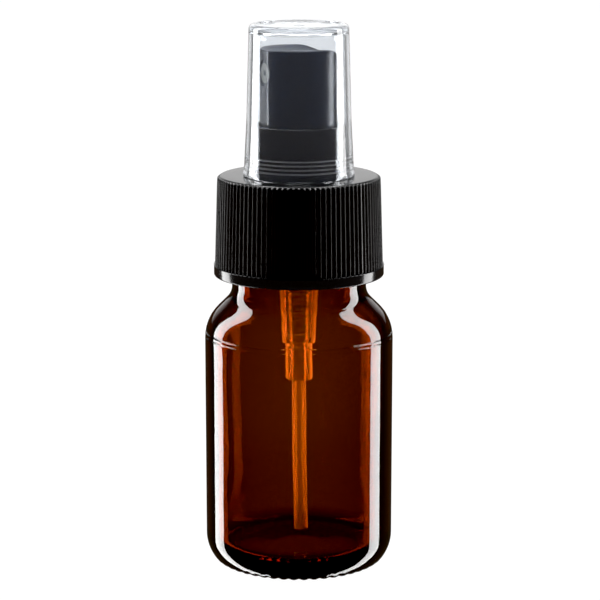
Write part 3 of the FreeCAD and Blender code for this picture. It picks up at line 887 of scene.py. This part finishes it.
def softbox(name, azimuth, power, distance=STRIP_DISTANCE, width=STRIP_WIDTH, height=STRIP_HEIGHT,
            centre_z=0.0):
    """Upright strip light. Azimuth is from the camera's side, positive to the right."""
    light = bpy.data.lights.new(name, "AREA")
    light.shape = "RECTANGLE"
    light.size = width
    light.size_y = height
    light.energy = power
    lamp = bpy.data.objects.new(name, light)
    turn = math.radians(azimuth)
    lamp.location = (math.sin(turn) * distance, -math.cos(turn) * distance, centre_z)
    toward = Vector((0, 0, centre_z)) - lamp.location
    lamp.rotation_euler = toward.to_track_quat("-Z", "Y").to_euler()
    bpy.context.scene.collection.objects.link(lamp)
    return lamp


def inner_strip(name, azimuth, lit):
    """Thin light inside the bottle, in place of the light that scatters in the pump's clear plastic."""
    lamp = softbox(name, azimuth, INNER_POWER, INNER_DISTANCE, INNER_WIDTH, INNER_HEIGHT, INNER_Z)
    lamp.data.color = INNER_COLOUR
    lamp.visible_camera = False
    lamp.visible_transmission = False
    lamp.light_linking.receiver_collection = lit


def through_glass(name, azimuth, power, lit):
    """Extra strength of a softbox for light that goes through the glass, and not for its reflections."""
    lamp = softbox(name, azimuth, power, STRIP_DISTANCE + 0.001)
    lamp.visible_glossy = False
    lamp.light_linking.receiver_collection = lit


def top_light(name, place, size, power, lit):
    """Square light above the object, turned to its closure."""
    light = bpy.data.lights.new(name, "AREA")
    light.size = size
    light.energy = power
    lamp = bpy.data.objects.new(name, light)
    lamp.location = place
    lamp.rotation_euler = (CLOSURE_AT - lamp.location).to_track_quat("-Z", "Y").to_euler()
    lamp.light_linking.receiver_collection = lit
    bpy.context.scene.collection.objects.link(lamp)


def build_floor():
    """Pale floor, which only the camera sees."""
    mesh = bpy.data.meshes.new("floor")
    corners = [(-1, -1), (1, -1), (1, 1), (-1, 1)]
    mesh.from_pydata([(x * FLOOR_HALF, y * FLOOR_HALF, 0) for x, y in corners], [], [(0, 1, 2, 3)])
    floor = bpy.data.objects.new("floor", mesh)
    bpy.context.scene.collection.objects.link(floor)
    pale = Surface("pale_floor", Roughness=0.9)
    pale.shader.inputs["Base Color"].default_value = (0.04, 0.04, 0.04, 1)
    pale.shader.inputs["Emission Color"].default_value = (1, 1, 1, 1)
    pale.shader.inputs["Emission Strength"].default_value = 1.0
    mesh.materials.append(pale.material)
    floor.visible_glossy = False
    floor.visible_transmission = False


def build_world():
    """Studio surroundings. The camera sees plain white, and the object sees a pale backdrop in a dark room.

    Light that goes straight through a clear piece also sees a paler front, sides and ceiling, so that
    the glass shows its colour from all round. Reflections see no backdrop below the horizon.
    """
    world = bpy.data.worlds.new("studio")
    bpy.context.scene.world = world
    world.use_nodes = True
    tree = world.node_tree
    nodes, links = tree.nodes, tree.links

    def panel(direction, start, end, level):
        """Pale panel that fades in where a direction's part along one axis goes from start to end."""
        ranger = nodes.new("ShaderNodeMapRange")
        ranger.inputs["From Min"].default_value = start
        ranger.inputs["From Max"].default_value = end
        ranger.inputs["To Max"].default_value = level
        links.new(direction, ranger.inputs["Value"])
        return ranger.outputs["Result"]

    def product(first, second):
        return math_node(tree, "MULTIPLY", first, second)

    def brightest(*levels):
        result = levels[0]
        for level in levels[1:]:
            result = math_node(tree, "MAXIMUM", result, level)
        return result

    place = nodes.new("ShaderNodeTexCoord")
    split = nodes.new("ShaderNodeSeparateXYZ")
    links.new(place.outputs["Generated"], split.inputs["Vector"])
    x, y, z = split.outputs["X"], split.outputs["Y"], split.outputs["Z"]
    path = nodes.new("ShaderNodeLightPath")
    through = path.outputs["Is Transmission Ray"]
    mirrored = math_node(tree, "SUBTRACT", path.outputs["Is Glossy Ray"], through)
    straight = product(through, math_node(tree, "LESS_THAN", path.outputs["Glossy Depth"], 0.5))

    backdrop = brightest(panel(y, 0.80, 0.93, BACKDROP_LEVEL), DARK_LEVEL)
    front = panel(product(y, -1.0), 0.80, 0.93, 0.9)
    sides = panel(math_node(tree, "ABSOLUTE", x), 0.85, 0.97, 0.4)
    ceiling = panel(z, 0.3, 0.6, 0.6)
    horizon = product(math_node(tree, "LESS_THAN", math_node(tree, "ABSOLUTE", z), 0.45), 0.12)
    room = product(brightest(front, ceiling, sides, horizon), straight)
    ground = product(product(math_node(tree, "LESS_THAN", z, -0.45), 0.2), through)
    white = brightest(backdrop, ground, room, path.outputs["Is Camera Ray"])

    mix = nodes.new("ShaderNodeMix")
    mix.data_type = "RGBA"
    mix.inputs["B"].default_value = LOW_GLOSS_COLOUR
    links.new(product(mirrored, math_node(tree, "LESS_THAN", z, 0.05)), mix.inputs["Factor"])
    links.new(white, mix.inputs["A"])
    links.new(mix.outputs["Result"], nodes["Background"].inputs["Color"])


def build_camera():
    """Camera at the angle that the bottle is shown from."""
    data = bpy.data.cameras.new("camera")
    data.lens = CAMERA_LENS
    data.sensor_width = 36.0
    data.clip_start = 0.01
    camera = bpy.data.objects.new("camera", data)
    camera.location = CAMERA_AT
    camera.rotation_euler = (math.pi / 2 - CAMERA_PITCH, 0, 0)
    bpy.context.scene.collection.objects.link(camera)
    bpy.context.scene.camera = camera


scene = bpy.context.scene
scene.view_settings.view_transform = "Standard"
scene.view_settings.use_curve_mapping = True
scene.view_settings.curve_mapping.black_level = (0.004, 0.004, 0.004)
scene.cycles.max_bounces = 24
scene.cycles.transmission_bounces = 20
scene.cycles.glossy_bounces = 8

build_camera()
build_world()
build_floor()
glass_only = bpy.data.collections.new("lit_bottle")
closure_only = bpy.data.collections.new("lit_closure")
cap_only = bpy.data.collections.new("lit_cap")
pump_only = bpy.data.collections.new("lit_pump")
softbox("strip_left", LEFT_AT, LEFT_POWER)
softbox("strip_right", RIGHT_AT, RIGHT_POWER)
through_glass("back_left", LEFT_AT, LEFT_GLASS_POWER, glass_only)
through_glass("back_right", RIGHT_AT, RIGHT_GLASS_POWER, glass_only)
top_light("overhead", (0, 0.28, 0.75), 0.5, 4.0, closure_only)
top_light("cap_top", (0, 0.02, 0.75), 0.3, 2.0, cap_only)
top_light("over_front", (0, -0.35, 0.60), 0.5, 1.2, cap_only)
inner_strip("inner_left", -INNER_AT, pump_only)
inner_strip("inner_right", INNER_AT, pump_only)

glass_only.objects.link(build_bottle())
for piece in (build_collar(), build_turret(), build_button(), build_insert()):
    closure_only.objects.link(piece)
overcap = build_overcap()
closure_only.objects.link(overcap)
cap_only.objects.link(overcap)
for piece in (build_housing(), build_tube()):
    pump_only.objects.link(piece)
build_spring("return_coil", "return_spring", "pump", RETURN_BOX, mean_r=1.9, wire=0.45, turns=10)
build_spring("preload_coil", "precompression_spring", "stem", PRELOAD_BOX, mean_r=2.2, wire=0.35, turns=2)
dress_cad_nodes()
